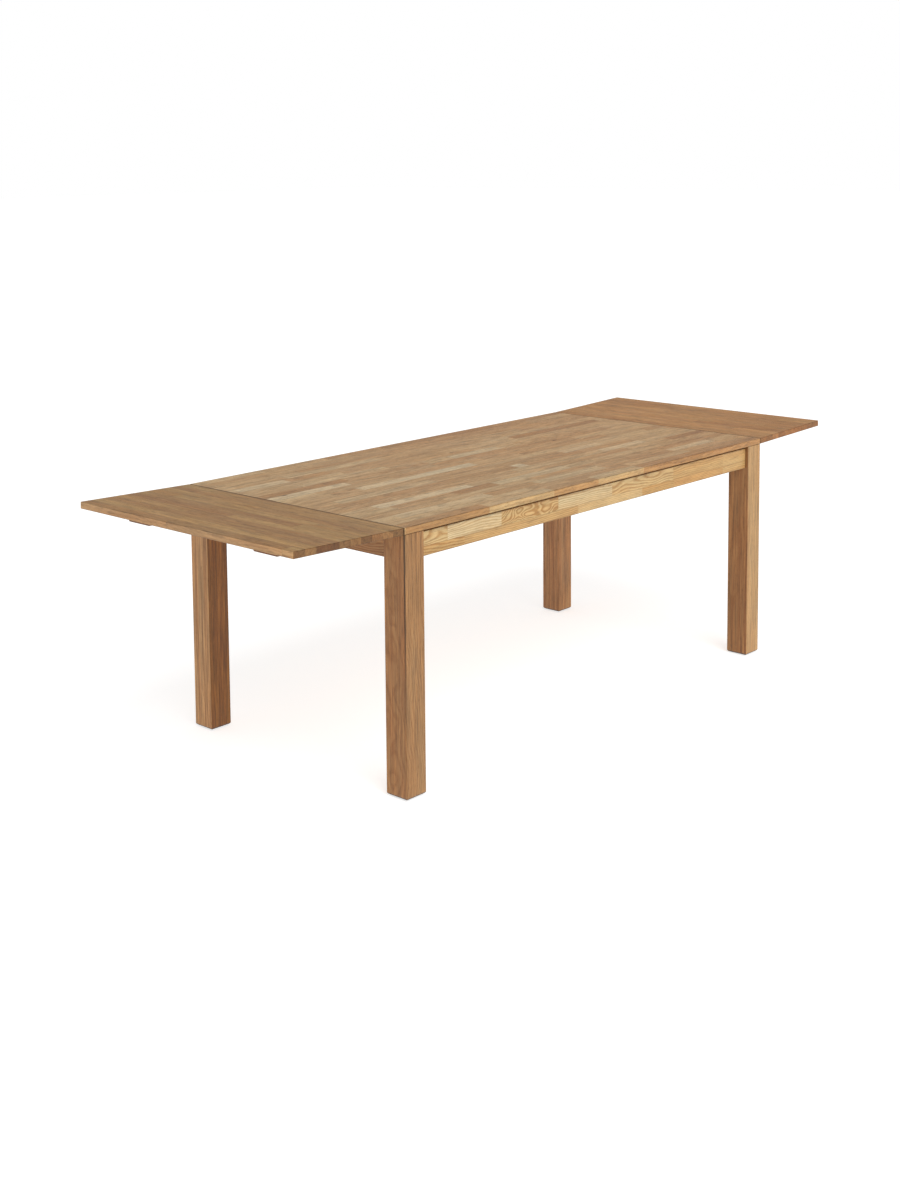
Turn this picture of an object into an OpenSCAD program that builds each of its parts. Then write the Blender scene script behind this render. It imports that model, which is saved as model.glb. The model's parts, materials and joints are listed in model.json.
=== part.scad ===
// Oak dining table with two add-on end leaves.
// Frame: X along the table, Y across it, Z up, origin on the floor under the middle of the top.
// Each leaf hangs on two bearers that slide through notches in the end apron into guides
// under the top. The guides lean by the leaf's pitch, so the leaf slides along its own plane.

/* [Top] */
// Length of the main top
top_l = 1800; // [1760:10:1900]
// Width of the main top and of the leaves
top_w = 900; // [880:10:1000]
// Thickness of the main top and of the leaves
top_t = 20; // [18:1:24]
// Height of the main top above the floor
table_h = 760; // [720:5:780]

/* [Legs and aprons] */
// Side of the square legs
leg_w = 78; // [70:1:90]
// Height of the aprons
apron_h = 68; // [68:1:85]
// Thickness of the aprons
apron_t = 22; // [18:1:24]
// How far the aprons stand back from the outer faces of the legs
apron_inset = 12; // [6:1:14]
// Shadow gap between the aprons and the underside of the top
shadow_gap = 7; // [5:0.5:8]

/* [Leaves] */
// Length that one leaf adds to the table
leaf_l = 400; // [350:10:500]
// Upward pitch of the unloaded leaves, in degrees
leaf_tilt = 1.6; // [0.5:0.1:2]
// Gap between the main top and a leaf
joint_gap = 1.5; // [0.5:0.1:2]

/* [Bearers] */
// Width of a bearer
bearer_w = 92; // [70:1:92]
// Thickness of a bearer
bearer_t = 28; // [26:1:28]
// Distance from the table's centre line to a bearer's centre line
bearer_y = 267; // [240:1:268]
// Distance from a bearer's outer end to the outer edge of its leaf
bearer_setback = 70; // [40:1:80]
// Length of a bearer under the main top
bearer_in = 365; // [330:5:380]

/* [Hidden] */
$fn = 48;
under = table_h - top_t;                     // underside of the main top
glide_t = 2;                                 // thickness of a floor glide
edge_r = 1.5;                                // rounding of panel edges
corner_r = 4;                                // rounding of a panel's corners, seen from above
soft_r = 3;                                  // rounding of leg and bearer edges
crown_r = 2;                                 // rounding round the head of a leg
foot_r = 10;                                 // rounding round the foot of a leg
arc_steps = 4;                               // straight steps in a rounded edge
leg_x = top_l / 2 - leg_w;                   // inner faces of the legs
leg_y = top_w / 2 - leg_w;
apron_z1 = under - shadow_gap;
apron_z0 = apron_z1 - apron_h;
side_y = top_w / 2 - apron_inset - apron_t;  // inner face of a long apron
end_x = top_l / 2 - apron_inset - apron_t;   // inner face of an end apron

slide_fit = 1;                               // play beside and under a bearer
keeper_fit = 0.3;                            // play over a bearer, under its spacer
cross_t = 22;                                // thickness of a cross rail
cross_h = 50;
cross_x1 = top_l / 2 - bearer_in + joint_gap; // outer face of a cross rail, which stops the bearers
cross_x0 = cross_x1 - cross_t;
guide_x0 = cross_x1 + 8;                     // inner end of the guides
guide_l = 267;                               // length of a guide rail
guide_t = 18;
guide_h = 42;
strap_l = 60;                                // strap and spacer, along the table
strap_t = 12;
cleat_w = 20;
cleat_h = 25;
cleat_x1 = leg_x - 8;                        // outer end of the long cleats
cleat_stop = 9;                              // space between a cleat and a cross rail
end_cleat_y = 195;                           // half length of an end cleat

bracket_t = 2.5;                             // steel corner bracket
bracket_flange = 28;
bracket_z0 = apron_z0 + 2;
bracket_h = 40;
bracket_cut = 82;                            // reach of the bracket along the long apron from the leg
bolt_r = 4;
bolt_fit = 0.1;                              // play of a hanger bolt in the leg
bolt_z = [bracket_z0 + 10, bracket_z0 + 30];
bolt_in = 50;                                // length of a hanger bolt inside the leg
bolt_out = 43;                               // and from the leg's corner inwards
leg_flat = 8;                                // depth of the flat on the leg's inner corner
leg_flat_h = 95;
washer_r = 8.4;
washer_t = 1.6;
nut_r = 7.5;
nut_h = 6.5;
angle_leg = 30;                              // steel angle that joins a cross rail to an apron
angle_h = 20;
angle_z = cross_h - 2;                       // foot of the angle below the underside of the top

screw_r = 2;
screw_head_r = 4.2;
screw_head_h = 2.4;
dowel_r = 4;
dowel_fit = 0.3;
dowel_l = 44;                                // half of it stands out of the leaf
dowel_ys = [-380, 0, 380];
glide_r = 16;
glide_pin_r = 2;
glide_pin_l = 14;

oak_pale = "burlywood";
oak_gold = "tan";
oak_brown = "peru";
steel = "silver";

// ---- placing ----------------------------------------------------------------------------

// Mirrors a piece drawn at +X and +Y to the end sx and the side sy.
module at(sx, sy) {
    mirror([sx < 0 ? 1 : 0, 0, 0]) mirror([0, sy < 0 ? 1 : 0, 0]) children();
}

module all_corners() {
    for (sx = [-1, 1], sy = [-1, 1]) at(sx, sy) children();
}

// A leaf's own frame: x = 0 at its inner edge, pointing outwards, z = 0 at its upper face.
module leaf_frame() {
    translate([top_l / 2 + joint_gap, 0, table_h]) rotate([0, -leaf_tilt, 0]) children();
}

// The frame of a leg's hanger bolts: z runs from the leg's inner corner towards the middle.
module bolt_frame(z) {
    translate([leg_x, leg_y, z]) rotate([0, 0, 45]) rotate([0, -90, 0]) children();
}

// ---- shapes -----------------------------------------------------------------------------

// Outline of a rectangle from [x0, y0] to [x1, y1]; corner radii in the order
// lower left, lower right, upper right, upper left.
function arc(cx, cy, r, from) =
    r == 0 ? [[cx, cy]]
    : [for (i = [0:arc_steps]) let (a = from + 90 * i / arc_steps) [cx + r * cos(a), cy + r * sin(a)]];
function rounded(x0, y0, x1, y1, r) = concat(
    arc(x0 + r[0], y0 + r[0], r[0], 180), arc(x1 - r[1], y0 + r[1], r[1], 270),
    arc(x1 - r[2], y1 - r[2], r[2], 0), arc(x0 + r[3], y1 - r[3], r[3], 90));

// A table panel with rounded edges and corners, as the overlap of its three outlines.
module panel(from, to) {
    corner = [corner_r, corner_r, corner_r, corner_r];
    edge = [edge_r, edge_r, edge_r, edge_r];
    intersection() {
        translate([0, 0, from.z]) linear_extrude(to.z - from.z)
            polygon(rounded(from.x, from.y, to.x, to.y, corner));
        translate([0, to.y, 0]) rotate([90, 0, 0]) linear_extrude(to.y - from.y)
            polygon(rounded(from.x, from.z, to.x, to.z, edge));
        translate([from.x, 0, 0]) rotate([90, 0, 90]) linear_extrude(to.x - from.x)
            polygon(rounded(from.y, from.z, to.y, to.z, edge));
    }
}

module block(from, to) {
    translate(from) cube(to - from);
}

// A countersunk wood screw with its head at z = 0, pointing to +z.
module screw(length) {
    union() {
        cylinder(h = screw_head_h, r1 = screw_head_r, r2 = screw_r);
        cylinder(h = length - screw_head_h, r = screw_r);
        translate([0, 0, length - screw_head_h]) cylinder(h = screw_head_h, r1 = screw_r, r2 = 0.4);
    }
}

// The countersunk hole for a screw through a board of thickness t.
module screw_hole(t) {
    translate([0, 0, -0.01]) cylinder(h = screw_head_h + 0.01, r1 = screw_head_r + 0.1, r2 = screw_r + 0.1);
    cylinder(h = t + 0.01, r = screw_r + 0.1);
}

// ---- top and leaves ---------------------------------------------------------------------

module dowel(fit) {
    cylinder(h = dowel_l / 2 - 2, r = dowel_r + fit);
    translate([0, 0, dowel_l / 2 - 2]) cylinder(h = 2, r1 = dowel_r + fit, r2 = dowel_r - 1 + fit);
}

// The dowels' halves inside the main top (inward) or inside the leaf, in the leaf's frame.
module dowel_halves(inward, fit) {
    for (y = dowel_ys) translate([0, y, -top_t / 2]) rotate([0, inward ? -90 : 90, 0]) dowel(fit);
}

module table_top() {
    color(oak_gold) difference() {
        panel([-top_l / 2, -top_w / 2, under], [top_l / 2, top_w / 2, table_h]);
        for (sx = [-1, 1]) at(sx, 1) leaf_frame() dowel_halves(true, dowel_fit);
    }
}

module leaf(sx) {
    color(oak_brown) at(sx, 1) leaf_frame() difference() {
        panel([0, -top_w / 2, -top_t], [leaf_l, top_w / 2, 0]);
        dowel_halves(false, 0);
    }
}

module leaf_dowels(sx) {
    color(oak_pale) at(sx, 1) leaf_frame() for (y = dowel_ys)
        translate([0, y, -top_t / 2]) union() {
            rotate([0, -90, 0]) dowel(0);
            rotate([0, 90, 0]) dowel(0);
        }
}

// ---- bearers ----------------------------------------------------------------------------

bearer_x1 = leaf_l - bearer_setback;
bearer_screw_xs = [40, 125, 210, 295];
bearer_screw_dy = 20;

module bearer_screw_places() {
    for (i = [0:len(bearer_screw_xs) - 1])
        translate([bearer_screw_xs[i], bearer_y + (i % 2 == 0 ? 1 : -1) * bearer_screw_dy, -top_t - bearer_t])
            children();
}

// A bearer: rounded edges below, and a larger round at the end that enters the guides.
module bearer(sx, sy) {
    color(oak_brown) at(sx, sy) leaf_frame() difference() {
        intersection() {
            translate([-bearer_in, 0, 0]) rotate([90, 0, 90]) linear_extrude(bearer_in + bearer_x1)
                polygon(rounded(bearer_y - bearer_w / 2, -top_t - bearer_t, bearer_y + bearer_w / 2, -top_t,
                                [soft_r, soft_r, 0, 0]));
            translate([0, bearer_y + bearer_w, 0]) rotate([90, 0, 0]) linear_extrude(2 * bearer_w)
                polygon(rounded(-bearer_in, -top_t - bearer_t, bearer_x1, -top_t, [foot_r, soft_r, 0, 0]));
        }
        bearer_screw_places() screw_hole(bearer_t);
    }
}

module bearer_screws(sx) {
    color(steel) for (sy = [-1, 1]) at(sx, sy) leaf_frame() bearer_screw_places() screw(bearer_t + 13);
}

// The room that a bearer needs, open above by `over` and grown by the sliding play.
module bearer_room(over) {
    leaf_frame() block([-bearer_in - 20, bearer_y - bearer_w / 2 - slide_fit, -top_t - bearer_t - slide_fit],
                       [60, bearer_y + bearer_w / 2 + slide_fit, -top_t + over]);
}

// ---- legs, aprons and rails -------------------------------------------------------------

module leg(sx, sy) {
    mid = [top_l / 2 - leg_w / 2, top_w / 2 - leg_w / 2];
    ends = [foot_r, foot_r, crown_r, crown_r];
    color(oak_brown) at(sx, sy) difference() {
        intersection() {
            translate([mid.x, mid.y, glide_t]) linear_extrude(under - glide_t)
                polygon(rounded(-leg_w / 2, -leg_w / 2, leg_w / 2, leg_w / 2, [soft_r, soft_r, soft_r, soft_r]));
            translate([mid.x, top_w / 2, 0]) rotate([90, 0, 0]) linear_extrude(leg_w)
                polygon(rounded(-leg_w / 2, glide_t, leg_w / 2, under, ends));
            translate([leg_x, mid.y, 0]) rotate([90, 0, 90]) linear_extrude(leg_w)
                polygon(rounded(-leg_w / 2, glide_t, leg_w / 2, under, ends));
        }
        bolt_frame(under - leg_flat_h) translate([-1, -leg_w / 2, -leg_flat]) cube([leg_flat_h + 2, leg_w, leg_w]);
        for (z = bolt_z) bolt_frame(z) translate([0, 0, -bolt_in]) cylinder(h = bolt_in + 1, r = bolt_r + bolt_fit);
        translate([mid.x, mid.y, glide_t - 1]) cylinder(h = glide_pin_l + 1.5, r = glide_pin_r + bolt_fit);
    }
}

module floor_glides() {
    color("dimgray") all_corners() translate([top_l / 2 - leg_w / 2, top_w / 2 - leg_w / 2, 0]) union() {
        cylinder(h = 1, r1 = glide_r - 1, r2 = glide_r);
        translate([0, 0, 1]) cylinder(h = glide_t - 1, r = glide_r);
        translate([0, 0, glide_t]) cylinder(h = glide_pin_l, r = glide_pin_r);
    }
}

module long_apron(sy) {
    color(oak_pale) at(1, sy) block([-leg_x, side_y, apron_z0], [leg_x, side_y + apron_t, apron_z1]);
}

module end_apron(sx) {
    color(oak_pale) at(sx, 1) difference() {
        block([end_x, -leg_y, apron_z0], [end_x + apron_t, leg_y, apron_z1]);
        for (sy = [-1, 1]) at(1, sy) bearer_room(top_t);
    }
}

// Long cleats, which stop short of the cross rails.
module long_cleats(sy) {
    color(oak_pale) at(1, sy) for (x = [[-cleat_x1, -cross_x1 - cleat_stop],
                                        [-cross_x0 + cleat_stop, cross_x0 - cleat_stop],
                                        [cross_x1 + cleat_stop, cleat_x1]])
        difference() {
            block([x[0], side_y - cleat_w, under - cleat_h], [x[1], side_y, under]);
            long_cleat_screw_places() screw_hole(cleat_w + cleat_h);
        }
}

module end_cleat(sx) {
    color(oak_pale) at(sx, 1) difference() {
        block([end_x - cleat_w, -end_cleat_y, under - cleat_h], [end_x, end_cleat_y, under]);
        end_cleat_screw_places() screw_hole(cleat_w + cleat_h);
    }
}

module cross_rail(sx) {
    color(oak_pale) at(sx, 1) block([cross_x0, -side_y, under - cross_h], [cross_x1, side_y, under]);
}

// ---- guides for the bearers -------------------------------------------------------------

module guide_rails(sx, sy) {
    inner = bearer_y - bearer_w / 2 - slide_fit;
    outer = bearer_y + bearer_w / 2 + slide_fit;
    color(oak_pale) at(sx, sy) difference() {
        union() for (y = [inner - guide_t, outer])
            block([guide_x0, y, under - guide_h], [guide_x0 + guide_l, y + guide_t, under]);
        guide_screw_places() screw_hole(guide_h);
    }
}

// A strap under the rails keeps the bearer's inner end from dropping.
module guide_strap(sx, sy) {
    half = bearer_w / 2 + slide_fit + guide_t;
    color(oak_gold) at(sx, sy) difference() {
        block([guide_x0, bearer_y - half, under - guide_h - strap_t],
              [guide_x0 + strap_l, bearer_y + half, under - guide_h]);
        strap_screw_places() screw_hole(strap_t);
    }
}

// A wedge over the bearer's inner end holds it down and gives the leaf its pitch.
module guide_spacer(sx, sy) {
    half = bearer_w / 2 + slide_fit;
    color(oak_gold) at(sx, sy) difference() {
        block([guide_x0, bearer_y - half, under - top_t], [guide_x0 + strap_l, bearer_y + half, under]);
        leaf_frame() block([-bearer_in - 30, bearer_y - bearer_w, -2 * top_t - bearer_t],
                           [0, bearer_y + bearer_w, -top_t + keeper_fit]);
    }
}

// ---- hardware ---------------------------------------------------------------------------

// Steel corner bracket: a diagonal plate with a flange on each apron.
module corner_bracket(sx, sy) {
    a = leg_x - bracket_cut;                  // where the plate leaves the long apron
    b = side_y - (end_x - a);                 // where it meets the end apron
    t = bracket_t;
    k = t * tan(22.5);
    color(steel) at(sx, sy) difference() {
        translate([0, 0, bracket_z0]) linear_extrude(bracket_h) polygon([
            [a - bracket_flange, side_y], [a, side_y], [end_x, b], [end_x, b - bracket_flange],
            [end_x - t, b - bracket_flange], [end_x - t, b - k], [a - k, side_y - t],
            [a - bracket_flange, side_y - t]]);
        for (z = bolt_z) bolt_frame(z) cylinder(h = leg_w, r = bolt_r + 0.5);
        bracket_screw_places() screw_hole(bracket_t + 1);
    }
}

// Distance from the leg's corner to just clear of the bracket's inner face, along the bolts.
bracket_face = (leg_x + leg_y - (leg_x - bracket_cut) - side_y) / sqrt(2) + bracket_t + 0.02;

module hanger_bolts() {
    color(steel) all_corners() for (z = bolt_z) bolt_frame(z)
        translate([0, 0, -bolt_in + 1]) cylinder(h = bolt_in + bolt_out - 1, r = bolt_r);
}

module hanger_washers() {
    color(steel) all_corners() for (z = bolt_z) bolt_frame(z) translate([0, 0, bracket_face]) difference() {
        cylinder(h = washer_t, r = washer_r);
        translate([0, 0, -1]) cylinder(h = washer_t + 2, r = bolt_r + 0.3);
    }
}

module hanger_nuts() {
    color(steel) all_corners() for (z = bolt_z) bolt_frame(z)
        translate([0, 0, bracket_face + washer_t]) difference() {
            cylinder(h = nut_h, r = nut_r, $fn = 6);
            translate([0, 0, -1]) cylinder(h = nut_h + 2, r = bolt_r + 0.05);
        }
}

module rail_angles() {
    z = under - angle_z;
    t = bracket_t;
    color(steel) all_corners() difference() {
        translate([0, 0, z]) linear_extrude(angle_h) polygon([
            [cross_x0, side_y], [cross_x0 - angle_leg, side_y], [cross_x0 - angle_leg, side_y - t],
            [cross_x0 - t, side_y - t], [cross_x0 - t, side_y - angle_leg], [cross_x0, side_y - angle_leg]]);
        angle_screw_places() screw_hole(bracket_t + 1);
    }
}

// ---- screws -----------------------------------------------------------------------------

// Each place holds a screw whose head lies in the drawn face; directions follow the board it enters.
module long_cleat_screw_places() {
    for (sx = [-1, 1]) {
        for (x = [120, 320, 470, 600, 770]) translate([sx * x, side_y - cleat_w / 2, under - cleat_h]) children();
        for (x = [220, 400, 680]) translate([sx * x, side_y - cleat_w, under - cleat_h / 2]) rotate([-90, 0, 0]) children();
    }
}

module end_cleat_screw_places() {
    for (sy = [-1, 1]) {
        translate([end_x - cleat_w / 2, sy * 120, under - cleat_h]) children();
        translate([end_x - cleat_w, sy * 60, under - cleat_h / 2]) rotate([0, 90, 0]) children();
    }
}

module guide_screw_places() {
    for (x = [100, 175, 245], side = [-1, 1])
        translate([guide_x0 + x, bearer_y + side * (bearer_w / 2 + slide_fit + guide_t / 2), under - guide_h])
            children();
}

module strap_screw_places() {
    for (x = [15, 45], side = [-1, 1])
        translate([guide_x0 + x, bearer_y + side * (bearer_w / 2 + slide_fit + guide_t / 2),
                   under - guide_h - strap_t]) children();
}

module bracket_screw_places() {
    a = leg_x - bracket_cut;
    b = side_y - (end_x - a);
    for (z = bolt_z) {
        translate([a - bracket_flange / 2, side_y - bracket_t, z]) rotate([-90, 0, 0]) children();
        translate([end_x - bracket_t, b - bracket_flange / 2, z]) rotate([0, 90, 0]) children();
    }
}

module angle_screw_places() {
    translate([cross_x0 - angle_leg * 0.6, side_y - bracket_t, under - angle_z + angle_h / 2])
        rotate([-90, 0, 0]) children();
    translate([cross_x0 - bracket_t, side_y - angle_leg * 0.6, under - angle_z + angle_h / 2])
        rotate([0, 90, 0]) children();
}

cleat_screw_l = 36;
guide_screw_l = 50;
strap_screw_l = 40;
plate_screw_l = 18;

module cleat_screws() {
    color(steel) {
        for (sy = [-1, 1]) at(1, sy) long_cleat_screw_places() screw(cleat_screw_l);
        for (sx = [-1, 1]) at(sx, 1) end_cleat_screw_places() screw(cleat_screw_l);
    }
}

module guide_screws() {
    color(steel) all_corners() guide_screw_places() screw(guide_screw_l);
}

module strap_screws() {
    color(steel) all_corners() strap_screw_places() screw(strap_screw_l);
}

module bracket_screws() {
    color(steel) all_corners() bracket_screw_places() screw(plate_screw_l);
}

module angle_screws() {
    color(steel) all_corners() angle_screw_places() screw(plate_screw_l);
}

// ---- nodes ------------------------------------------------------------------------------

table_top();
leg(-1, -1);  // leg_front_left
leg(1, -1);  // leg_front_right
leg(-1, 1);  // leg_back_left
leg(1, 1);  // leg_back_right
long_apron(-1);  // apron_front
long_apron(1);  // apron_back
end_apron(-1);  // apron_left
end_apron(1);  // apron_right
long_cleats(-1);  // cleats_front
long_cleats(1);  // cleats_back
end_cleat(-1);  // cleat_left
end_cleat(1);  // cleat_right
cross_rail(-1);  // cross_rail_left
cross_rail(1);  // cross_rail_right
corner_bracket(-1, -1);  // corner_bracket_front_left
corner_bracket(1, -1);  // corner_bracket_front_right
corner_bracket(-1, 1);  // corner_bracket_back_left
corner_bracket(1, 1);  // corner_bracket_back_right
hanger_bolts();
hanger_washers();
hanger_nuts();
rail_angles();
guide_rails(-1, -1);  // guide_rails_front_left
guide_rails(1, -1);  // guide_rails_front_right
guide_rails(-1, 1);  // guide_rails_back_left
guide_rails(1, 1);  // guide_rails_back_right
guide_strap(-1, -1);  // guide_strap_front_left
guide_strap(1, -1);  // guide_strap_front_right
guide_strap(-1, 1);  // guide_strap_back_left
guide_strap(1, 1);  // guide_strap_back_right
guide_spacer(-1, -1);  // guide_spacer_front_left
guide_spacer(1, -1);  // guide_spacer_front_right
guide_spacer(-1, 1);  // guide_spacer_back_left
guide_spacer(1, 1);  // guide_spacer_back_right
cleat_screws();
guide_screws();
strap_screws();
bracket_screws();
angle_screws();
floor_glides();
leaf(-1);  // leaf_left
leaf(1);  // leaf_right
bearer(-1, -1);  // bearer_left_front
bearer(-1, 1);  // bearer_left_back
bearer(1, -1);  // bearer_right_front
bearer(1, 1);  // bearer_right_back
bearer_screws(-1);  // bearer_screws_left
bearer_screws(1);  // bearer_screws_right
leaf_dowels(-1);  // leaf_dowels_left
leaf_dowels(1);  // leaf_dowels_right
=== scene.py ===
"""Looks of the oak dining table: solid wood textures, steel, glides, soft studio light and the camera."""

import json
import math

import bmesh
import bpy
from mathutils import Matrix, Vector
from mathutils.geometry import tessellate_polygon


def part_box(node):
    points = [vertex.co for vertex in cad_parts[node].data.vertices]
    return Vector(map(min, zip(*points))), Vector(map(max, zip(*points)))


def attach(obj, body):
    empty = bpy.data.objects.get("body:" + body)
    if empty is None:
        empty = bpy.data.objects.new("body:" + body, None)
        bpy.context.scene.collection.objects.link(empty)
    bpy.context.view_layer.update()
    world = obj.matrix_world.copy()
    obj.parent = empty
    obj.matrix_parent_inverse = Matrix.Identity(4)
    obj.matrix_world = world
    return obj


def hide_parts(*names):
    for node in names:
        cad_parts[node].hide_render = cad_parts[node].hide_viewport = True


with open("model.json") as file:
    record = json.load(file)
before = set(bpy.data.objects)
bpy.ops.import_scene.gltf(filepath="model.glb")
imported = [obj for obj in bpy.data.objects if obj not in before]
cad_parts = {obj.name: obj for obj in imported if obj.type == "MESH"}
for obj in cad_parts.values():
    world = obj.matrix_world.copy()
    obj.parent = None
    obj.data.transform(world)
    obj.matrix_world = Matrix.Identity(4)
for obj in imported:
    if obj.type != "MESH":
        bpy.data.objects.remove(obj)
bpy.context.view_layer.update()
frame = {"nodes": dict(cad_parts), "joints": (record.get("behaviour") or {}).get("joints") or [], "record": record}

NODES = frame["nodes"]
RECORD = frame["record"]
SLOT_OF = {s["node"]: s["material_slot"] for s in RECORD["subparts"]}
BODY_OF = {n: b for b, members in RECORD["behaviour"]["bodies"].items() for n in members}
LEAF_AXES = {j["child"]: Vector(j["axis"]) for j in frame["joints"]}
TOP_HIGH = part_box("table_top")[1]


def srgb(red, green, blue):
    """A colour given as it shows on a screen, 0 to 255, in the linear values that shaders work in."""
    def linear(value):
        share = value / 255
        return share / 12.92 if share <= 0.04045 else ((share + 0.055) / 1.055) ** 2.4
    return (linear(red), linear(green), linear(blue), 1.0)


# ---- a short way to write node trees ------------------------------------------------------


class Graph:
    """One material's node tree. Methods add a node and return its output socket."""

    def __init__(self, name):
        self.material = bpy.data.materials.new(name)
        self.material.use_nodes = True
        self.tree = self.material.node_tree
        self.tree.nodes.clear()
        self.shader = self.tree.nodes.new("ShaderNodeBsdfPrincipled")
        out = self.tree.nodes.new("ShaderNodeOutputMaterial")
        self.tree.links.new(self.shader.outputs["BSDF"], out.inputs["Surface"])

    def add(self, kind, **settings):
        node = self.tree.nodes.new(kind)
        for key, value in settings.items():
            setattr(node, key, value)
        return node

    def put(self, socket, value):
        """Links a socket to another one, or sets its own value."""
        if isinstance(value, bpy.types.NodeSocket):
            self.tree.links.new(value, socket)
        else:
            socket.default_value = value

    def math(self, operation, a, b=0.0, c=0.0):
        node = self.add("ShaderNodeMath", operation=operation)
        for socket, value in zip(node.inputs, (a, b, c)):
            self.put(socket, value)
        return node.outputs[0]

    def plus(self, a, b):
        return self.math("ADD", a, b)

    def minus(self, a, b):
        return self.math("SUBTRACT", a, b)

    def times(self, a, b):
        return self.math("MULTIPLY", a, b)

    def vector(self, operation, a, b=(0, 0, 0), c=(0, 0, 0)):
        node = self.add("ShaderNodeVectorMath", operation=operation)
        for socket, value in zip(node.inputs, (a, b, c)):
            self.put(socket, value)
        return node.outputs["Vector"]

    def join(self, x, y, z):
        node = self.add("ShaderNodeCombineXYZ")
        for socket, value in zip(node.inputs, (x, y, z)):
            self.put(socket, value)
        return node.outputs[0]

    def split(self, vector):
        node = self.add("ShaderNodeSeparateXYZ")
        self.put(node.inputs[0], vector)
        return list(node.outputs)

    def noise(self, where, scale, detail=2.0, roughness=0.5):
        node = self.add("ShaderNodeTexNoise", noise_dimensions="3D")
        self.put(node.inputs["Vector"], where)
        self.put(node.inputs["Scale"], scale)
        self.put(node.inputs["Detail"], detail)
        self.put(node.inputs["Roughness"], roughness)
        return node.outputs["Fac"]

    def step(self, value, low, high, to_low=0.0, to_high=1.0):
        """Smooth step of value from low to high."""
        node = self.add("ShaderNodeMapRange", interpolation_type="SMOOTHSTEP")
        places = {"Value": value, "From Min": low, "From Max": high, "To Min": to_low, "To Max": to_high}
        for key, v in places.items():
            self.put(node.inputs[key], v)
        return node.outputs[0]

    def ramp(self, value, stops, interpolation="LINEAR"):
        """(colour, alpha) of a colour ramp with stops of (place, colour)."""
        node = self.add("ShaderNodeValToRGB")
        node.color_ramp.interpolation = interpolation
        elements = node.color_ramp.elements
        while len(elements) < len(stops):
            elements.new(0.5)
        for element, (place, colour) in zip(elements, stops):
            element.position = place
            element.color = colour
        self.put(node.inputs[0], value)
        return node.outputs["Color"], node.outputs["Alpha"]

    def mix(self, share, a, b, blend="MIX"):
        node = self.add("ShaderNodeMix", data_type="RGBA", blend_type=blend, clamp_result=False)
        self.put(node.inputs["Factor"], share)
        self.put(node.inputs[6], a)
        self.put(node.inputs[7], b)
        return node.outputs[2]

    def tint(self, colour, amount):
        """The colour times a grey amount."""
        return self.mix(1.0, colour, self.join(amount, amount, amount), "MULTIPLY")

    def stain(self, colour, share, shade):
        """The colour, going over into its product with shade as share goes from 0 to 1."""
        return self.mix(share, colour, shade, "MULTIPLY")

    def bump(self, height, distance, strength=1.0):
        node = self.add("ShaderNodeBump")
        self.put(node.inputs["Strength"], strength)
        self.put(node.inputs["Distance"], distance)
        self.put(node.inputs["Height"], height)
        return node.outputs["Normal"]

    def finish(self, **inputs):
        for key, value in inputs.items():
            self.put(self.shader.inputs[key.replace("_", " ")], value)
        return self.material


# ---- where a piece lies -------------------------------------------------------------------


def own_frame(node):
    """(origin, turn about Y) of the frame in which a node lies square: a leaf's pieces lean with the leaf."""
    axis = LEAF_AXES.get(BODY_OF[node])
    if axis is None:
        return Vector((0, 0, 0)), 0.0
    side = math.copysign(1.0, axis.x)
    return Vector((side * TOP_HIGH.x, 0, TOP_HIGH.z)), side * math.asin(axis.z)


def own_box(node):
    origin, turn = own_frame(node)
    upright = Matrix.Rotation(turn, 3, "Y")
    points = [upright @ (v.co - origin) for v in NODES[node].data.vertices]
    low = Vector([min(p[i] for p in points) for i in range(3)])
    high = Vector([max(p[i] for p in points) for i in range(3)])
    return low, high


def own_coordinates(g, node):
    """Sockets with the surface point's x, y and z in the node's own frame, and the normal there."""
    origin, turn = own_frame(node)
    texture = g.add("ShaderNodeTexCoord")
    point, normal = texture.outputs["Object"], texture.outputs["Normal"]
    if turn:
        point = g.vector("SUBTRACT", point, tuple(origin))
        turned = []
        for vector in (point, normal):
            rotate = g.add("ShaderNodeVectorRotate", rotation_type="Y_AXIS")
            g.put(rotate.inputs["Vector"], vector)
            g.put(rotate.inputs["Angle"], turn)
            turned.append(rotate.outputs[0])
        point, normal = turned
    return g.split(point), g.split(normal)


# ---- oak ----------------------------------------------------------------------------------

# Tones of single staves from the darkest heartwood to the palest sapwood, each with its place from 0 to 1.
TOP_TONES = [(0.00, srgb(183, 138, 88)), (0.25, srgb(196, 154, 104)), (0.55, srgb(203, 166, 117)),
             (0.80, srgb(209, 177, 130)), (1.00, srgb(219, 193, 151))]
LEFT_LEAF_TONES = [(0.00, srgb(167, 124, 74)), (0.50, srgb(175, 134, 80)), (1.00, srgb(186, 148, 92))]
RIGHT_LEAF_TONES = [(0.00, srgb(179, 128, 73)), (0.50, srgb(189, 137, 80)), (1.00, srgb(201, 150, 91))]
APRON_TONES = [(0.00, srgb(170, 121, 66)), (0.35, srgb(199, 157, 96)), (0.70, srgb(207, 177, 123)),
               (1.00, srgb(214, 193, 149))]
# Painted shade: the end aprons, under the leaves, get darker tones than the front apron.
SHADED_END_APRON_TONES = [(0.00, srgb(154, 110, 64)), (1.00, srgb(174, 132, 84))]
FRAME_TONES = [(0.00, srgb(186, 148, 102)), (1.00, srgb(208, 174, 128))]
BEARER_TONES = [(0.00, srgb(168, 122, 80)), (1.00, srgb(182, 138, 94))]

# The boards that a leg shows on its front and back, and on its two sides: tone and strength of the streaks. The
# tones are partly the boards' own and partly painted shade on faces turned in under the table.
LEG_BOARDS = {
    "leg_front_left": ((srgb(162, 121, 75), 0.40), (srgb(159, 113, 66), 0.60)),
    "leg_front_right": ((srgb(188, 148, 97), 0.30), (srgb(149, 105, 61), 0.85)),
    "leg_back_left": ((srgb(138, 90, 37), 1.20), (srgb(184, 139, 90), 1.10)),
    "leg_back_right": ((srgb(180, 134, 86), 0.60), (srgb(169, 121, 77), 0.90)),
}

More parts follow.
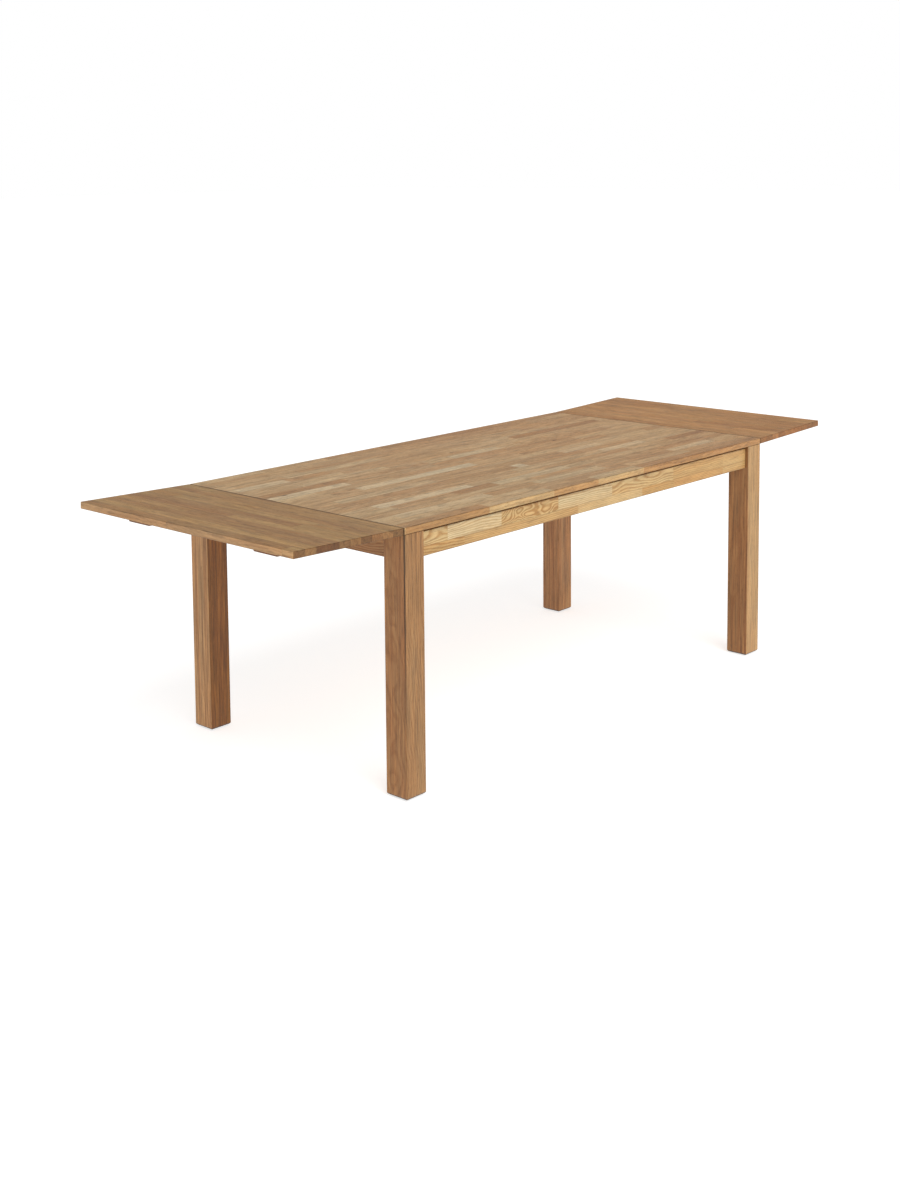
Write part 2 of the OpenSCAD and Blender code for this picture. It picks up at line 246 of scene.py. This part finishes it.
# stave: width across the grain; length: mean length along it; spread: how far its tones differ;
# spacing: between year rings; sway: how far the rings wander; drawn: how much longer the figure is than
# on a short stave; rings, broad, mottle, streaks, dashes, pores: how strongly each shows; rough: of the oil.
LOOKS = {
    "oak_top": dict(
        tones=TOP_TONES, stave=0.9 / 21, length=0.42, spread=0.5, spacing=0.0075, sway=0.05,
        rings=0.35, broad=0.17, mottle=0.26, streaks=0.50, dashes=0.27, pores=0.42, rough=0.44,
    ),
    "oak_leaf": dict(
        tones=LEFT_LEAF_TONES, stave=0.04, length=0.60, spread=1.0, spacing=0.0075, sway=0.04,
        rings=0.25, broad=0.14, mottle=0.26, streaks=0.42, dashes=0.26, pores=0.30, rough=0.46,
    ),
    "oak_leg": dict(
        stave=0.2, length=3.0, spread=1.0, spacing=0.0085, sway=0.06, rings=0.38, broad=0.16,
        mottle=0.36, streaks=0.70, dashes=0.30, pores=0.35, rough=0.50, drawn=2.5,
    ),
    "oak_apron": dict(
        tones=APRON_TONES, stave=0.034, length=0.30, spread=1.0, spacing=0.0046, sway=0.06,
        rings=0.90, broad=0.14, mottle=0.14, streaks=0.35, dashes=0.16, pores=0.25, rough=0.50,
    ),
    "oak_bearer": dict(
        tones=BEARER_TONES, stave=0.2, length=3.0, spread=1.0, spacing=0.0070, sway=0.05, rings=0.40,
        broad=0.20, mottle=0.16, streaks=0.40, dashes=0.25, pores=0.35, rough=0.55,
    ),
    "oak_frame": dict(
        tones=FRAME_TONES, stave=0.2, length=3.0, spread=1.0, spacing=0.0060, sway=0.05, rings=0.35,
        broad=0.20, mottle=0.14, streaks=0.30, dashes=0.20, pores=0.25, rough=0.62,
    ),
}
NODE_LOOKS = {
    "leaf_right": dict(LOOKS["oak_leaf"], tones=RIGHT_LEAF_TONES),
    # The end aprons take the darker tones of painted shade.
    "apron_left": dict(LOOKS["oak_apron"], tones=SHADED_END_APRON_TONES),
    "apron_right": dict(LOOKS["oak_apron"], tones=SHADED_END_APRON_TONES),
}
RING_SHADE = (0.72, 0.58, 0.44, 1)
BOLD_RING_SHADE = (0.69, 0.56, 0.41, 1)
STREAK_SHADE = (0.66, 0.55, 0.46, 1)
KNOT_SHADE = (0.22, 0.14, 0.09, 1)
# Painted light and shade on the long edges of the top and the leaves, set by which way the edge faces.
PAINTED_EDGE_LIGHT = {"oak_top": (0.935, 0.89, 0.75, 1), "oak_leaf": (1.18, 1.235, 1.57, 1)}
END_GRAIN_SHADES = [(0.0, (0.39, 0.31, 0.29, 1)), (0.5, (0.52, 0.45, 0.43, 1)), (1.0, (0.78, 0.69, 0.68, 1))]
REDDISH = (1.04, 0.97, 0.91, 1)
GREYISH = (0.98, 1.01, 1.05, 1)

# Staves set one by one, by row from the board's low edge. Each starts at a place along X, and has a tone,
# a cut from flat-sawn 0 to quarter-sawn 1, and a boldness of its rings; a tone of None leaves it to chance.
PLAIN, DARK, PALE = (0.5, 0.35), 0.0, 1.0
TOP_ROWS = {
    0: [(-0.90, 0.10, *PLAIN), (-0.55, 0.74, *PLAIN), (-0.26, 0.20, *PLAIN), (-0.04, 0.78, *PLAIN),
        (0.20, 0.12, *PLAIN)],
    1: [(-0.12, 0.25, *PLAIN), (0.20, None)],
    2: [(-0.82, 0.90, *PLAIN), (-0.43, 0.22, *PLAIN), (-0.21, 0.80, *PLAIN), (0.12, None),
        (0.50, 0.92, *PLAIN), (0.75, None)],
    4: [(-0.48, DARK, *PLAIN), (-0.30, 0.85, *PLAIN), (0.05, None)],
    5: [(-0.77, PALE, *PLAIN), (-0.37, None), (0.68, DARK, *PLAIN)],
    6: [(0.355, PALE, *PLAIN), (0.59, 0.75, *PLAIN)],
    7: [(-0.84, 0.15, *PLAIN), (-0.05, PALE, *PLAIN), (0.0, 0.20, *PLAIN), (0.30, None)],
    8: [(0.24, 0.92, *PLAIN), (0.46, None)],
    10: [(-0.62, PALE, *PLAIN), (-0.10, None)],
    12: [(-0.90, PALE, *PLAIN), (-0.59, None)],
    13: [(-0.90, DARK, *PLAIN), (-0.55, None), (-0.07, 0.90, *PLAIN), (0.18, None)],
    15: [(0.35, DARK, *PLAIN), (0.84, None)],
    16: [(-0.88, 0.92, *PLAIN), (-0.68, 0.15, *PLAIN), (-0.50, None)],
    20: [(-0.09, DARK, *PLAIN), (0.50, 0.20, *PLAIN)],
}
APRON_ROWS = {
    0: [(-0.90, 0.40, 0.5, 0.7), (-0.645, 0.52, 0.6, 0.55), (-0.125, 0.75, 0.7, 0.25),
        (0.21, 0.35, 0.5, 0.4), (0.39, 0.42, 0.8, 0.6), (0.675, 0.50, 0.6, 0.2)],
    1: [(-0.90, 0.72, 0.2, 0.75), (-0.715, 1.00, 0.45, 0.42), (-0.485, 0.58, 0.0, 1.0),
        (-0.22, 0.92, 0.5, 0.5), (0.045, 0.70, 0.1, 0.7), (0.385, 0.46, 0.5, 0.35),
        (0.68, 0.55, 0.7, 0.15)],
}
HAND_SET = {"table_top": TOP_ROWS, "apron_front": APRON_ROWS}
APRON_LOWER_ROW = 0.0265


def row_of(g, node, across, width, look):
    """(row number, distance from the row's middle, distance to the nearest joint between rows)."""
    if node == "apron_front":
        row = g.math("GREATER_THAN", across, APRON_LOWER_ROW)
        off_middle = g.minus(across, g.math("MULTIPLY_ADD", row, width / 2, APRON_LOWER_ROW / 2))
        return row, off_middle, g.math("ABSOLUTE", g.minus(across, APRON_LOWER_ROW))
    rows = max(1, round(width / look["stave"]))
    each = width / rows
    inside = g.math("MULTIPLY_ADD", across, 0.9996, 0.0002 * width)
    row = g.math("FLOOR", g.math("DIVIDE", inside, each))
    off_middle = g.minus(across, g.times(g.plus(row, 0.5), each))
    if rows == 1:
        return row, off_middle, 1.0
    nearest = g.math("ROUND", g.math("DIVIDE", across, each))
    joint = g.math("MINIMUM", g.math("MAXIMUM", nearest, 1.0), rows - 1.0)
    return row, off_middle, g.math("ABSOLUTE", g.minus(across, g.times(joint, each)))


def staves(g, node, along, across, low, high, axes, look, seed):
    """(three random lots of the stave here, 1 on its glue lines, distance from its middle line)."""
    a, b = axes
    row, off_middle, side_gap = row_of(g, node, across, high[b] - low[b], look)
    row_shift = g.times(g.plus(row, seed), 17.31)
    in_row = g.plus(g.math("DIVIDE", along, look["length"]), row_shift)
    cell = g.add("ShaderNodeTexVoronoi", voronoi_dimensions="1D", feature="F1")
    edge = g.add("ShaderNodeTexVoronoi", voronoi_dimensions="1D", feature="DISTANCE_TO_EDGE")
    for texture in (cell, edge):
        g.put(texture.inputs["W"], in_row)
        g.put(texture.inputs["Scale"], 1.0)
        g.put(texture.inputs["Randomness"], 0.85)
    spread = look["spread"]
    lots = g.vector("MULTIPLY_ADD", cell.outputs["Color"], (spread, 1, 1), ((1 - spread) / 2, 0, 0))
    end_line = g.step(g.times(edge.outputs["Distance"], look["length"]), 0.0002, 0.0007, 1.0, 0.0)
    share = g.math("DIVIDE", g.minus(along, low[a]), high[a] - low[a])
    for number, boards in HAND_SET.get(node, {}).items():
        stops = [(0.0, (0, 0, 0, 0))]
        for start, tone, *figure in boards:
            first = max(0.0, (start - low[a]) / (high[a] - low[a]))
            stops.append((first, (0, 0, 0, 0) if tone is None else (tone, *figure, 1)))
        chosen, known = g.ramp(share, stops, "CONSTANT")
        here = g.times(known, g.math("COMPARE", row, float(number), 0.1))
        lots = g.mix(here, lots, chosen)
        end_line = g.times(end_line, g.minus(1.0, here))
    side_line = g.step(side_gap, 0.0002, 0.0007, 1.0, 0.0)
    return g.split(lots), g.math("MAXIMUM", end_line, side_line), off_middle


def fibre(g, place, length, width, seed=0.0, detail=2.0, roughness=0.5):
    """Noise drawn out along the grain. A dark and a light streak together are this long and wide."""
    along, across, depth = place
    drawn_out = g.math("MULTIPLY_ADD", along, 1 / length, seed)
    where = g.join(drawn_out, g.times(across, 1 / width), g.times(depth, 1 / width))
    return g.noise(where, 1.0, detail, roughness)


def year_rings(g, place, lots, look, bend):
    """0 in late wood to 1 in the open early wood of each year ring, for a stave cut anyhow from the trunk."""
    along, across, depth = place
    cut, boldness = lots[1], lots[2]
    angle = g.times(g.minus(1.0, cut), math.pi / 2)
    radius = g.math("MULTIPLY_ADD", boldness, 0.05, 0.03)
    wander = g.times(g.minus(fibre(g, place, 0.42, 0.14), 0.5), g.times(g.minus(1.3, cut), look["sway"]))
    looping = g.step(boldness, 0.7, 1.0, 0.004, 0.036)
    loops = g.times(g.minus(fibre(g, place, 0.09, 0.05, 20.0, 1.0), 0.5), looping)
    side = g.minus(across, g.times(g.math("COSINE", angle), radius))
    down = g.plus(g.plus(depth, g.times(g.math("SINE", angle), radius)), wander)
    reach = g.math("SQRT", g.plus(g.times(side, side), g.times(down, down)))
    ripple = g.times(g.minus(fibre(g, place, 0.05, 0.012), 0.5), 0.0030)
    across_rings = g.plus(g.plus(reach, loops), g.plus(ripple, bend))
    spacing = g.times(g.step(boldness, 0.8, 1.0, 1.0, 0.85), look["spacing"])
    phase = g.math("FRACT", g.math("DIVIDE", across_rings, spacing))
    return g.times(g.step(phase, 0.0, 0.22), g.step(phase, 0.26, 0.8, 1.0, 0.0))


def knots(g, place, seed):
    """(how far the grain bends round a knot here in metres, how much of a knot this point is)."""
    along, across, depth = place
    where = g.join(g.math("MULTIPLY_ADD", along, 2.6, seed * 3.7), g.times(across, 7.0), g.times(depth, 7.0))
    node = g.add("ShaderNodeTexVoronoi", voronoi_dimensions="3D", feature="F1")
    g.put(node.inputs["Vector"], where)
    g.put(node.inputs["Scale"], 1.0)
    near = node.outputs["Distance"]
    return g.step(near, 0.0, 0.22, 0.012, 0.0), g.step(near, 0.015, 0.05, 1.0, 0.0)


def arris(g, point, low, high, reach):
    """1 on a board's arrises, falling to 0 at a few millimetres' reach."""
    gaps = []
    for i in range(3):
        middle, half = (low[i] + high[i]) / 2, (high[i] - low[i]) / 2
        gaps.append(g.minus(half, g.math("ABSOLUTE", g.minus(point[i], middle))))
    least = g.math("MINIMUM", g.math("MINIMUM", gaps[0], gaps[1]), gaps[2])
    most = g.math("MAXIMUM", g.math("MAXIMUM", gaps[0], gaps[1]), gaps[2])
    total = g.plus(g.plus(gaps[0], gaps[1]), gaps[2])
    second = g.minus(g.minus(total, least), most)
    return g.step(second, 0.0004, reach, 1.0, 0.0)


def joint_gap_shade(g, node, x):
    """1 on the edges where the top and a leaf meet, a painted shade of the gap between them, falling to 0 in 4 mm.
    """
    from_end = g.minus(g.math("ABSOLUTE", x), TOP_HIGH.x) if node == "table_top" else x
    return g.step(g.math("ABSOLUTE", from_end), 0.0018, 0.0042, 1.0, 0.0)


def corner_shadow_line(g, point, low):
    """A painted shadow line down the leg's outer arris where its boards meet, fading towards the floor."""
    off_corner = g.math("MAXIMUM", g.minus(point[0], low.x), g.minus(point[1], low.y))
    return g.times(g.step(off_corner, 0.0014, 0.0040, 1.0, 0.0), g.step(point[2], 0.1, 0.6, 0.12, 0.85))


def side_share(g, normal):
    """0 where a leg faces the front or the back, 1 where it faces the ends of the table."""
    lean = g.minus(g.math("ABSOLUTE", normal[0]), g.math("ABSOLUTE", normal[1]))
    return g.step(lean, -0.1, 0.1)


def stave_tone(g, node, look, lots, normal):
    """The ground colour of the stave here; on the legs it is partly painted shade on the faces turned in under the
    table.
    """
    if node in LEG_BOARDS:
        (front, _), (side, _) = LEG_BOARDS[node]
        return g.mix(side_share(g, normal), front, side)
    return g.ramp(lots[0], look["tones"])[0]


def oak(node, seed):
    """Solid oak, glued from staves that run along the node's longest side."""
    look = NODE_LOOKS.get(node, LOOKS[SLOT_OF[node]])
    g = Graph("oak_" + node)
    low, high = own_box(node)
    size = high - low
    a, b, c = sorted(range(3), key=lambda i: -size[i])
    point, normal = own_coordinates(g, node)
    across = g.minus(point[b], low[b])
    lots, glue, off_middle = staves(g, node, point[a], across, low, high, (a, b), look, seed)
    shift = g.math("MULTIPLY_ADD", lots[2], 9.0, seed)
    depth = g.minus(point[c], low[c])
    place = (g.plus(point[a], shift), g.math("MULTIPLY_ADD", lots[1], 0.7, off_middle), depth)
    in_stave = (place[0], off_middle, depth)

    bend, knot = knots(g, (point[a], across, depth), seed)
    ring = year_rings(g, in_stave, lots, look, bend)
    broad = fibre(g, place, 0.34, 0.03)
    drawn = look.get("drawn", 1.0)
    mottle = fibre(g, place, 0.07 * drawn, 0.016 / math.sqrt(drawn), 2.0, 4.0, 0.7)
    streak = fibre(g, place, 0.22 * drawn, 0.014, 4.0, 4.0, 0.65)
    dash = g.step(fibre(g, place, 0.05 * drawn, 0.0075 / math.sqrt(drawn), 8.0, 2.0), 0.56, 0.68)
    pore = g.step(fibre(g, place, 0.016, 0.0011, 12.0, 2.0, 0.6), 0.52, 0.66)
    porous = g.times(pore, g.math("MULTIPLY_ADD", ring, 0.6, 0.4))

    colour = stave_tone(g, node, look, lots, normal)
    hue = g.step(fibre(g, place, 0.5, 0.03, 16.0, 2.0), 0.3, 0.7)
    # Painted sheen: the top is paler and greyer towards its left end, darker and redder towards its right.
    if node == "table_top":
        hue = g.minus(hue, g.times(point[0], 0.7))
        colour = g.tint(colour, g.math("MULTIPLY_ADD", point[0], -0.045, 1.02))
    colour = g.mix(1.0, colour, g.mix(hue, REDDISH, GREYISH), "MULTIPLY")
    colour = g.tint(colour, g.math("MULTIPLY_ADD", broad, 2 * look["broad"], 1 - look["broad"]))
    bold = g.times(g.math("MULTIPLY_ADD", lots[2], 0.8, 0.5), look["rings"])
    ring_shade = g.mix(g.step(lots[2], 0.8, 1.0), RING_SHADE, BOLD_RING_SHADE)
    colour = g.stain(colour, g.times(ring, bold), ring_shade)
    strength = look["streaks"]
    if node in LEG_BOARDS:
        (_, front), (_, side) = LEG_BOARDS[node]
        strength = g.times(g.step(side_share(g, normal), 0.0, 1.0, front, side), strength)
        fine = g.step(fibre(g, place, 0.18, 0.006, 24.0, 3.0, 0.6), 0.36, 0.64, -0.26, 0.26)
        colour = g.tint(colour, g.math("MULTIPLY_ADD", fine, strength, 1.0))
    colour = g.stain(colour, g.times(g.step(streak, 0.46, 0.63), strength), STREAK_SHADE)
    patchy = g.math("MULTIPLY_ADD", g.step(mottle, 0.3, 0.7), look["mottle"], 1 - look["mottle"] / 2)
    colour = g.tint(colour, patchy)
    colour = g.tint(colour, g.minus(1.0, g.times(dash, look["dashes"])))
    colour = g.tint(colour, g.minus(1.0, g.times(porous, look["pores"])))
    colour = g.stain(colour, knot, KNOT_SHADE)
    colour = g.tint(colour, g.minus(1.0, g.times(glue, 0.38)))

    end_grain = g.step(g.math("ABSOLUTE", normal[a]), 0.6, 0.9)
    colour = g.stain(colour, end_grain, g.ramp(lots[1], END_GRAIN_SHADES)[0])
    wear_and_shadow = g.times(arris(g, point, low, high, 0.003), 0.2 if node in LEG_BOARDS else 0.34)
    # The front left leg also gets a painted shadow line down its outer arris, on top of its darkened arrises.
    if node == "leg_front_left":
        wear_and_shadow = g.math("MAXIMUM", wear_and_shadow, corner_shadow_line(g, point, low))
    colour = g.tint(colour, g.minus(1.0, wear_and_shadow))
    # Painted contact shadow: each leg darkens over its lowest 11 mm towards the floor.
    if node in LEG_BOARDS:
        colour = g.tint(colour, g.step(point[2], 0.0045, 0.0110, 0.25, 1.0))
    # Painted light and shade on the long edges, by the way each face turns.
    if SLOT_OF[node] in PAINTED_EDGE_LIGHT:
        long_edge = g.step(g.math("ABSOLUTE", normal[b]), 0.5, 0.9)
        colour = g.stain(colour, long_edge, PAINTED_EDGE_LIGHT[SLOT_OF[node]])
        # Painted shade of the gap where the top and a leaf meet, stronger at the left end.
        gap_shade_strength = g.step(point[0], -0.1, 0.1, 0.6, 0.35)
        colour = g.tint(colour, g.minus(1.0, g.times(joint_gap_shade(g, node, point[0]), gap_shade_strength)))

    patch = g.noise(g.join(*point), 7.0, 2.0)
    rough = g.plus(g.math("MULTIPLY_ADD", patch, 0.16, look["rough"] - 0.08), g.times(porous, 0.15))
    rough = g.plus(rough, g.times(end_grain, 0.12))
    height = g.minus(g.minus(g.times(ring, 0.25), porous), g.times(glue, 0.6))
    return g.finish(Base_Color=colour, Roughness=rough, Normal=g.bump(height, 0.0002, 0.6), IOR=1.45)


# ---- metal and plastic --------------------------------------------------------------------


def zinc_steel(name, seed):
    """Zinc-plated steel with a faint spangle and a few dull spots."""
    g = Graph(name)
    place = g.vector("ADD", g.add("ShaderNodeTexCoord").outputs["Object"], (seed, 0, 0))
    spangle = g.noise(place, 320.0, 3.0, 0.6)
    dull = g.step(g.noise(place, 40.0, 4.0), 0.5, 0.7)
    colour = g.mix(g.times(dull, 0.5), srgb(196, 198, 204), srgb(158, 156, 150))
    colour = g.tint(colour, g.math("MULTIPLY_ADD", spangle, 0.2, 0.9))
    rough = g.math("MULTIPLY_ADD", dull, 0.18, g.math("MULTIPLY_ADD", spangle, 0.2, 0.22))
    return g.finish(Base_Color=colour, Metallic=1.0, Roughness=rough, Normal=g.bump(spangle, 0.00005, 0.5))


def glide_plastic(name):
    """Dark moulded plastic, scuffed underneath."""
    g = Graph(name)
    texture = g.add("ShaderNodeTexCoord")
    place, normal = texture.outputs["Object"], g.split(texture.outputs["Normal"])
    grain = g.noise(place, 900.0, 2.0)
    underneath = g.step(normal[2], -0.9, -0.5, 1.0, 0.0)
    scuff = g.times(g.step(g.noise(place, 260.0, 4.0, 0.7), 0.45, 0.65), underneath)
    colour = g.mix(g.times(scuff, 0.6), srgb(52, 46, 40), srgb(110, 102, 92))
    rough = g.math("MULTIPLY_ADD", grain, 0.2, 0.45)
    return g.finish(Base_Color=colour, Roughness=rough, Normal=g.bump(grain, 0.0001, 0.4))


# ---- screws and bolts with their recesses and threads -------------------------------------

SCREW_HEAD_R, SCREW_HEAD_H, SCREW_RIM_H = 0.0042, 0.0024, 0.0002
SCREW_SHANK, SCREW_POINT, SCREW_TIP_R = 0.008, 0.003, 0.0003
RECESS_MOUTH, RECESS_BOTTOM, RECESS_DEPTH = (0.0005, 0.0021), (0.0003, 0.0009), 0.0016
SCREW_CREST, SCREW_ROOT, SCREW_PITCH = 0.0020, 0.0014, 0.0024
BOLT_CREST, BOLT_ROOT, BOLT_PITCH, BOLT_CHAMFER = 0.0040, 0.0034, 0.00125, 0.0008


def solids_of(node):
    """The vertices of each loose solid in a node, in order."""
    grid = bmesh.new()
    grid.from_mesh(NODES[node].data)
    bmesh.ops.remove_doubles(grid, verts=grid.verts, dist=1e-6)
    grid.verts.index_update()
    seen = [False] * len(grid.verts)
    for start in grid.verts:
        if seen[start.index]:
            continue
        seen[start.index] = True
        members = [start]
        for vert in members:
            for edge in vert.link_edges:
                other = edge.other_vert(vert)
                if not seen[other.index]:
                    seen[other.index] = True
                    members.append(other)
        yield members
    grid.free()


def axis_of(members):
    """(centre of the head, direction into the wood, length) of a fixing. The head is its widest flat."""
    flats = {}
    for face in sorted({f for v in members for f in v.link_faces}, key=lambda f: f.index):
        flats.setdefault(tuple(round(c, 2) for c in face.normal), []).append(face)
    best = (0.0, None, None)
    for faces in flats.values():
        area = sum(f.calc_area() for f in faces)
        centre = sum((f.calc_center_median() * f.calc_area() for f in faces), Vector()) / area
        reach = max((v.co - centre).length for f in faces for v in f.verts)
        if reach < 1.1 * SCREW_HEAD_R and area > best[0]:
            best = (area, centre, -faces[0].normal)
    _, head, direction = best
    return head, direction, max((v.co - head).dot(direction) for v in members)


def turned(rings, around):
    """(points, faces) of a turned shape open at both ends, from rings of (z, radius at an angle)."""
    points, faces = [], []
    for number, (z, radius) in enumerate(rings):
        for k in range(around):
            angle = 2 * math.pi * k / around
            r = radius(angle)
            points.append(Vector((r * math.cos(angle), r * math.sin(angle), z)))
        if number:
            low, high = (number - 1) * around, number * around
            for k in range(around):
                after = (k + 1) % around
                faces.append((low + k, low + after, high + after, high + k))
    return points, faces


def thread(z0, z1, root, crest, pitch, per_turn):
    """Rings of a thread from z0 to z1."""
    def ridge(z):
        def radius(angle):
            share = (z / pitch - angle / (2 * math.pi)) % 1.0
            return root + (crest - root) * (1 - abs(2 * share - 1))
        return radius
    steps = round((z1 - z0) / pitch * per_turn)
    return [(z0 + (z1 - z0) * i / steps, ridge(z0 + (z1 - z0) * i / steps)) for i in range(steps + 1)]


def even(radius):
    return lambda angle: radius


def cross(half_width, reach, z):
    """The outline of a cross recess, counter-clockwise."""
    corners = [(reach, -half_width), (reach, half_width), (half_width, half_width)]
    quarter = [(1, 0), (0, 1), (-1, 0), (0, -1)]
    return [Vector((x * c - y * s, x * s + y * c, z)) for c, s in quarter for x, y in corners]


def screw_shape(length):
    """A countersunk screw with a cross recess, its head at z = 0, pointing to +z."""
    around = 12
    rings = [(0.0, even(SCREW_HEAD_R - SCREW_RIM_H)), (SCREW_RIM_H, even(SCREW_HEAD_R)),
             (SCREW_HEAD_H, even(SCREW_ROOT)), (SCREW_SHANK, even(SCREW_ROOT))]
    rings += thread(SCREW_SHANK + 0.001, length - SCREW_POINT, SCREW_ROOT, SCREW_CREST, SCREW_PITCH, 3)
    rings += [(length, even(SCREW_TIP_R))]
    points, faces = turned(rings, around)
    faces.append(tuple(range(len(points) - around, len(points))))
    first = len(points)
    mouth, bottom = cross(*RECESS_MOUTH, 0.0), cross(*RECESS_BOTTOM, RECESS_DEPTH)
    for a, b, c in tessellate_polygon([points[:around], mouth]):
        flat = points[:around] + mouth
        up = (flat[b] - flat[a]).cross(flat[c] - flat[a]).z > 0
        corners = (a, c, b) if up else (a, b, c)
        faces.append(tuple(k if k < around else first + k - around for k in corners))
    points += mouth + bottom
    count = len(mouth)
    for k in range(count):
        after = (k + 1) % count
        faces.append((first + after, first + k, first + count + k, first + count + after))
    faces.append(tuple(first + 2 * count - 1 - k for k in range(count)))
    return points, faces


def bolt_shape(length):
    """A rod with a machine thread and chamfered ends."""
    around, end_r = 16, BOLT_ROOT - 0.0004
    rings = [(0.0, even(end_r))]
    rings += thread(BOLT_CHAMFER, length - BOLT_CHAMFER, BOLT_ROOT, BOLT_CREST, BOLT_PITCH, 4)
    rings += [(length, even(end_r))]
    points, faces = turned(rings, around)
    faces.append(tuple(reversed(range(around))))
    faces.append(tuple(range(len(points) - around, len(points))))
    return points, faces


def detailed(node, shape):
    """One piece in a node's place, with shape(length) standing for each of its solids."""
    points, faces = [], []
    for number, members in enumerate(solids_of(node)):
        head, direction, length = axis_of(members)
        turn = direction.to_track_quat("Z", "Y").to_matrix() @ Matrix.Rotation(number * 0.9, 3, "Z")
        own_points, own_faces = shape(length)
        faces += [tuple(len(points) + k for k in face) for face in own_faces]
        points += [turn @ p + head for p in own_points]
    mesh = bpy.data.meshes.new(node + "_threaded")
    mesh.from_pydata(points, [], faces)
    for face in mesh.polygons:
        face.use_smooth = len(face.vertices) == 4
    obj = bpy.data.objects.new(node + "_threaded", mesh)
    bpy.context.scene.collection.objects.link(obj)
    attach(obj, BODY_OF[node])
    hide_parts(node)
    return obj


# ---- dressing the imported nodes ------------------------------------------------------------


def soften(obj, width):
    """Breaks the sharp arrises of a sawn or cut piece."""
    bevel = obj.modifiers.new("arris", "BEVEL")
    bevel.width = width
    bevel.segments = 2
    bevel.limit_method = "ANGLE"
    bevel.angle_limit = math.radians(40)
    bevel.harden_normals = False


def paint(obj, material):
    obj.data.materials.clear()
    obj.data.materials.append(material)


ARRIS_WIDTHS = {"oak_apron": 0.0012, "oak_frame": 0.0008, "zinc_steel": 0.0003}

for number, name in enumerate(sorted(NODES)):
    obj, slot = NODES[name], SLOT_OF[name]
    threaded = "screws" in name or "bolts" in name
    if slot.startswith("oak"):
        paint(obj, oak(name, number * 0.713 + 1.0))
    elif slot == "zinc_steel":
        steel = zinc_steel("steel_" + name, number * 0.31)
        paint(obj, steel)
        if "screws" in name:
            paint(detailed(name, screw_shape), steel)
        elif "bolts" in name:
            paint(detailed(name, bolt_shape), steel)
    else:
        paint(obj, glide_plastic("plastic_" + name))
    if slot in ARRIS_WIDTHS and not threaded:
        soften(obj, ARRIS_WIDTHS[slot])


# ---- studio -------------------------------------------------------------------------------


def floor():
    """A white floor out to beyond the picture, with a glow of its own that keeps shadows on it faint."""
    half, low = 60.0, -0.0002
    mesh = bpy.data.meshes.new("studio_floor")
    corners = [(-half, -half, low), (half, -half, low), (half, half, low), (-half, half, low)]
    mesh.from_pydata(corners, [], [(0, 1, 2, 3)])
    obj = bpy.data.objects.new("studio_floor", mesh)
    bpy.context.scene.collection.objects.link(obj)
    g = Graph("studio_floor")
    pale = (0.6, 0.6, 0.6, 1)
    material = g.finish(Base_Color=pale, Roughness=1.0, Emission_Color=(1, 1, 1, 1), Emission_Strength=0.68)
    obj.data.materials.append(material)


def sky(light, shown):
    """An even white dome: its light on the table, and how bright it looks behind it."""
    world = bpy.data.worlds.new("studio")
    bpy.context.scene.world = world
    world.use_nodes = True
    nodes, links = world.node_tree.nodes, world.node_tree.links
    path = nodes.new("ShaderNodeLightPath")
    strength = nodes.new("ShaderNodeMapRange")
    strength.inputs["To Min"].default_value = light
    strength.inputs["To Max"].default_value = shown
    links.new(path.outputs["Is Camera Ray"], strength.inputs["Value"])
    nodes["Background"].inputs["Color"].default_value = (1, 1, 1, 1)
    links.new(strength.outputs[0], nodes["Background"].inputs["Strength"])


def soft_sun(name, azimuth, elevation, strength, spread):
    """A wide, far light. Azimuth is counted from the front of the table towards its left end."""
    light = bpy.data.lights.new(name, "SUN")
    light.energy = strength
    light.angle = math.radians(spread)
    obj = bpy.data.objects.new(name, light)
    side, rise = math.radians(azimuth), math.radians(elevation)
    towards = Vector((-math.sin(side) * math.cos(rise), -math.cos(side) * math.cos(rise), math.sin(rise)))
    obj.rotation_mode = "QUATERNION"
    obj.rotation_quaternion = towards.to_track_quat("Z", "Y")
    bpy.context.scene.collection.objects.link(obj)


def camera():
    """A long lens at the height of a standing person's eyes, off the left end of the table."""
    place = Vector((-3.973, -3.368, 1.747))
    yaw, pitch, roll = math.radians(46.396), math.radians(-5.957), math.radians(-0.655)
    ahead = Vector((math.sin(yaw) * math.cos(pitch), math.cos(yaw) * math.cos(pitch), math.sin(pitch)))
    level = Vector((math.cos(yaw), -math.sin(yaw), 0))
    upward = level.cross(ahead)
    right = math.cos(roll) * level + math.sin(roll) * upward
    up = right.cross(ahead)
    data = bpy.data.cameras.new("camera")
    data.sensor_width = 36.0
    data.lens = 48.55
    data.shift_x, data.shift_y = 0.0422, -0.2292
    data.clip_start, data.clip_end = 0.1, 200.0
    obj = bpy.data.objects.new("camera", data)
    turn = Matrix((right, up, -ahead)).transposed()
    obj.matrix_world = Matrix.Translation(place) @ turn.to_4x4()
    bpy.context.scene.collection.objects.link(obj)
    bpy.context.scene.camera = obj


floor()
sky(light=0.45, shown=1.0)
soft_sun("key", azimuth=22.0, elevation=45.0, strength=1.73, spread=40.0)
camera()
bpy.context.scene.view_settings.view_transform = "Standard"
